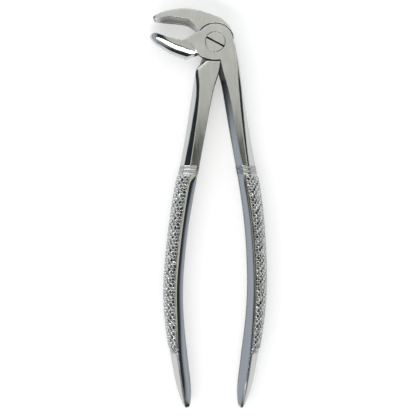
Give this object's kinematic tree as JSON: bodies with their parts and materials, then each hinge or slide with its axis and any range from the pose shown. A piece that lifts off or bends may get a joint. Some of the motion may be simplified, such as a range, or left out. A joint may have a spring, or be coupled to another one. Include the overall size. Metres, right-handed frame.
{
  "type": "dental extraction forceps",
  "caption": "Steel dental extraction forceps for lower molars, English pattern, with beaks set square to the handles, a lapped screw joint and knurled grips.",
  "frame": {"origin": "middle of the bounding box in X and Y, on the plane of the joint's back face", "axes": "+Z along the hinge axis towards the slotted screw head; +Y from the handle ends towards the joint; the beaks point towards -X"},
  "size_m": [0.0508, 0.175, 0.01],
  "materials": {
    "forceps_steel": "satin-ground flats with polished sides",
    "screw_steel": "satin"
  },
  "bodies": {
    "rear": {"rear_half": "forceps_steel", "pivot_screw": "screw_steel"},
    "front": {"front_half": "forceps_steel"}
  },
  "joints": [
    {"name": "pivot", "type": "hinge", "parent": "rear", "child": "front", "pos_m": [0.00312, 0.0729, 0.00501], "axis": [0, 0, 1], "range_deg": [-1.5, 14]}
  ]
}
